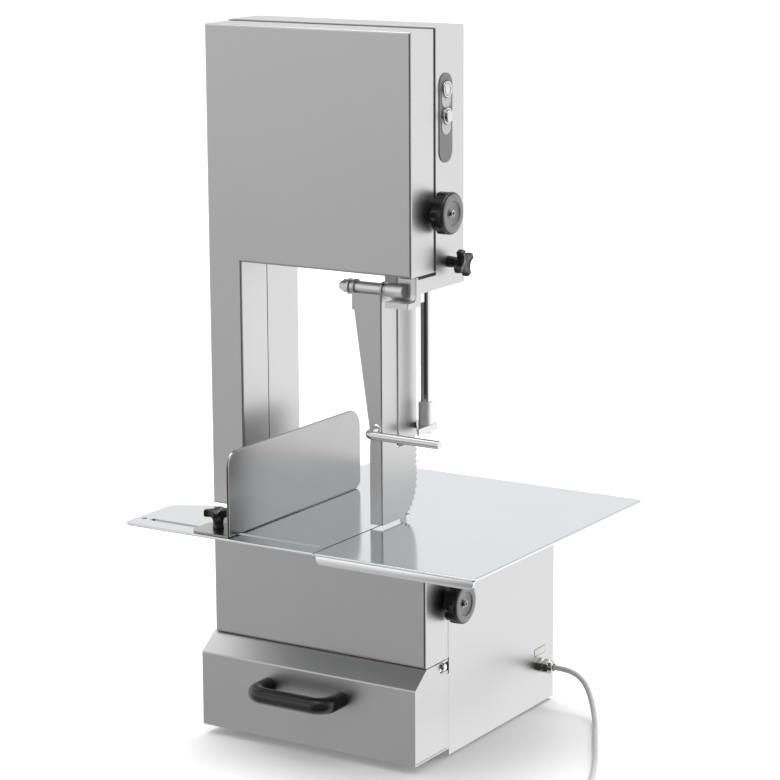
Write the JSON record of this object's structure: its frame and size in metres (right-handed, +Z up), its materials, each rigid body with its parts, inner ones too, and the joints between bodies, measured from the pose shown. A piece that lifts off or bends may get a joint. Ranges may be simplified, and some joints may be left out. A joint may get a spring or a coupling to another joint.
{
  "type": "butcher band saw",
  "caption": "Table-top stainless band saw for meat and bone, with hinged doors, sliding fence, swinging pusher, blade guard on a post and a sawdust drawer.",
  "frame": {"origin": "centre of the machine's footprint, on the surface it stands on", "axes": "+X towards the switches and gland, +Y towards the back, +Z up"},
  "size_m": [0.6996, 0.4937, 0.9687],
  "materials": {
    "satin_steel": "satin brushed stainless sheet",
    "table_steel": "bright fine-ground stainless",
    "polished_steel": "polished",
    "machined_steel": "turned and ground",
    "band_steel": "toothed spring steel band",
    "cast_aluminium": "turned cast aluminium",
    "zinc_plate": "zinc-plated sheet",
    "motor_paint": "grey-blue enamel",
    "black_plastic": "fine-textured black plastic",
    "grey_plastic": "satin grey plastic",
    "black_rubber": "matte",
    "white_nylon": "natural nylon",
    "panel_grey": "printed membrane",
    "button_grey": "satin metal cap",
    "nickel": "nickel-plated brass",
    "cord_grey": "light grey sheath",
    "plug_grey": "moulded light grey"
  },
  "bodies": {
    "frame": {"upper_case": "satin_steel", "column_case": "satin_steel", "base_housing": "satin_steel", "base_plate": "satin_steel", "rubber_feet": "black_rubber", "rear_panel": "satin_steel", "rear_panel_screws": "polished_steel", "partition_plate": "zinc_plate", "gearbox": "cast_aluminium", "motor": "motor_paint", "control_box": "grey_plastic", "door_gaskets": "black_rubber", "fixed_hinge_leaves": "machined_steel", "hinge_pins": "polished_steel", "door_lock_studs": "machined_steel", "blade": "band_steel", "slide_rails": "zinc_plate", "lower_blade_guide": "white_nylon", "post_clamp_block": "cast_aluminium", "pivot_shaft": "machined_steel", "hook_bracket": "machined_steel", "table": "table_steel", "button_panel": "panel_grey", "drawer_studs": "polished_steel", "cable_gland": "nickel", "cord_lead": "cord_grey", "cord_coil": "cord_grey", "mains_plug": "plug_grey"},
    "upper_door": {"upper_door": "satin_steel", "upper_door_hinge_leaves": "machined_steel"},
    "lower_door": {"lower_door": "satin_steel", "lower_door_hinge_leaves": "machined_steel"},
    "upper_lock": {"upper_lock_knob": "black_plastic", "upper_lock_cap": "grey_plastic"},
    "lower_lock": {"lower_lock_knob": "black_plastic", "lower_lock_cap": "grey_plastic"},
    "guide": {"blade_guard": "satin_steel", "guard_bracket": "machined_steel", "guide_post": "polished_steel", "post_collar": "machined_steel", "upper_blade_guide": "white_nylon"},
    "clamp": {"clamp_knob": "black_plastic"},
    "pusher": {"pusher_arm": "satin_steel", "pusher_sleeve": "machined_steel", "pusher_handle": "machined_steel"},
    "fence": {"fence_plate": "satin_steel"},
    "fence_clamp": {"fence_knob": "black_plastic"},
    "start": {"start_button": "button_grey"},
    "stop": {"stop_button": "button_grey"},
    "drawer": {"drawer_front": "satin_steel", "drawer_tray": "satin_steel", "drawer_handle": "black_plastic"},
    "tension_carriage": {"tension_slide": "cast_aluminium", "wheel_axle": "machined_steel"},
    "tension_adjuster": {"tension_screw": "machined_steel", "tension_knob": "black_plastic"},
    "top_wheel": {"upper_wheel": "cast_aluminium", "upper_wheel_bearings": "polished_steel"},
    "bottom_wheel": {"lower_wheel": "cast_aluminium", "drive_shaft": "machined_steel"}
  },
  "joints": [
    {"name": "upper_door_hinge", "type": "hinge", "parent": "frame", "child": "upper_door", "pos_m": [-0.22955, -0.0456, 0.645], "axis": [0, 0, -1], "range_deg": [0, 110]},
    {"name": "lower_door_hinge", "type": "hinge", "parent": "frame", "child": "lower_door", "pos_m": [-0.22955, -0.0456, 0.218], "axis": [0, 0, -1], "range_deg": [0, 110]},
    {"name": "upper_lock_turn", "type": "hinge", "parent": "frame", "child": "upper_lock", "pos_m": [0.11095, -0.0459, 0.732], "axis": [1, 0, 0], "range_deg": [0, 450]},
    {"name": "lower_lock_turn", "type": "hinge", "parent": "frame", "child": "lower_lock", "pos_m": [0.13095, -0.0469, 0.218], "axis": [1, 0, 0], "range_deg": [0, 450]},
    {"name": "guide_height", "type": "slide", "parent": "frame", "child": "guide", "axis": [0, 0, 1], "range_m": [-0.014, 0.175]},
    {"name": "clamp_turn", "type": "hinge", "parent": "frame", "child": "clamp", "pos_m": [0.09595, -0.0116, 0.663], "axis": [1, 0, 0], "range_deg": [0, 300]},
    {"name": "pusher_swing", "type": "hinge", "parent": "frame", "child": "pusher", "pos_m": [0.02095, -0.0891, 0.6335], "axis": [-1, 0, 0], "range_deg": [0, 80]},
    {"name": "fence_slide", "type": "slide", "parent": "frame", "child": "fence", "axis": [1, 0, 0], "range_m": [-0.062, 0.118]},
    {"name": "fence_clamp_turn", "type": "hinge", "parent": "fence", "child": "fence_clamp", "pos_m": [-0.13505, -0.2126, 0.335], "axis": [0, 0, 1], "range_deg": [0, 300]},
    {"name": "start_press", "type": "slide", "parent": "frame", "child": "start", "axis": [-1, 0, 0], "range_m": [0, 0.003], "stiffness_N_per_m": 400},
    {"name": "stop_press", "type": "slide", "parent": "frame", "child": "stop", "axis": [-1, 0, 0], "range_m": [0, 0.003], "stiffness_N_per_m": 400},
    {"name": "drawer_pull", "type": "slide", "parent": "frame", "child": "drawer", "axis": [0, -1, 0], "range_m": [0, 0.15]},
    {"name": "tension_travel", "type": "slide", "parent": "frame", "child": "tension_carriage", "axis": [0, 0, 1], "range_m": [-0.008, 0]},
    {"name": "tension_turn", "type": "hinge", "parent": "frame", "child": "tension_adjuster", "pos_m": [-0.07945, 0.0104, 0.905], "axis": [0, 0, 1], "range_deg": [-5, 1650]},
    {"name": "top_wheel_spin", "type": "hinge", "parent": "tension_carriage", "child": "top_wheel", "pos_m": [-0.07945, -0.0266, 0.8196], "axis": [0, 1, 0], "continuous": true},
    {"name": "bottom_wheel_spin", "type": "hinge", "parent": "frame", "child": "bottom_wheel", "pos_m": [-0.07945, -0.0266, 0.163], "axis": [0, 1, 0], "continuous": true}
  ],
  "couplings": [
    {"joint": "top_wheel_spin", "follows": "bottom_wheel_spin", "ratio": 1},
    {"joint": "tension_turn", "follows": "tension_travel", "rad_per_m": -3590.4}
  ]
}
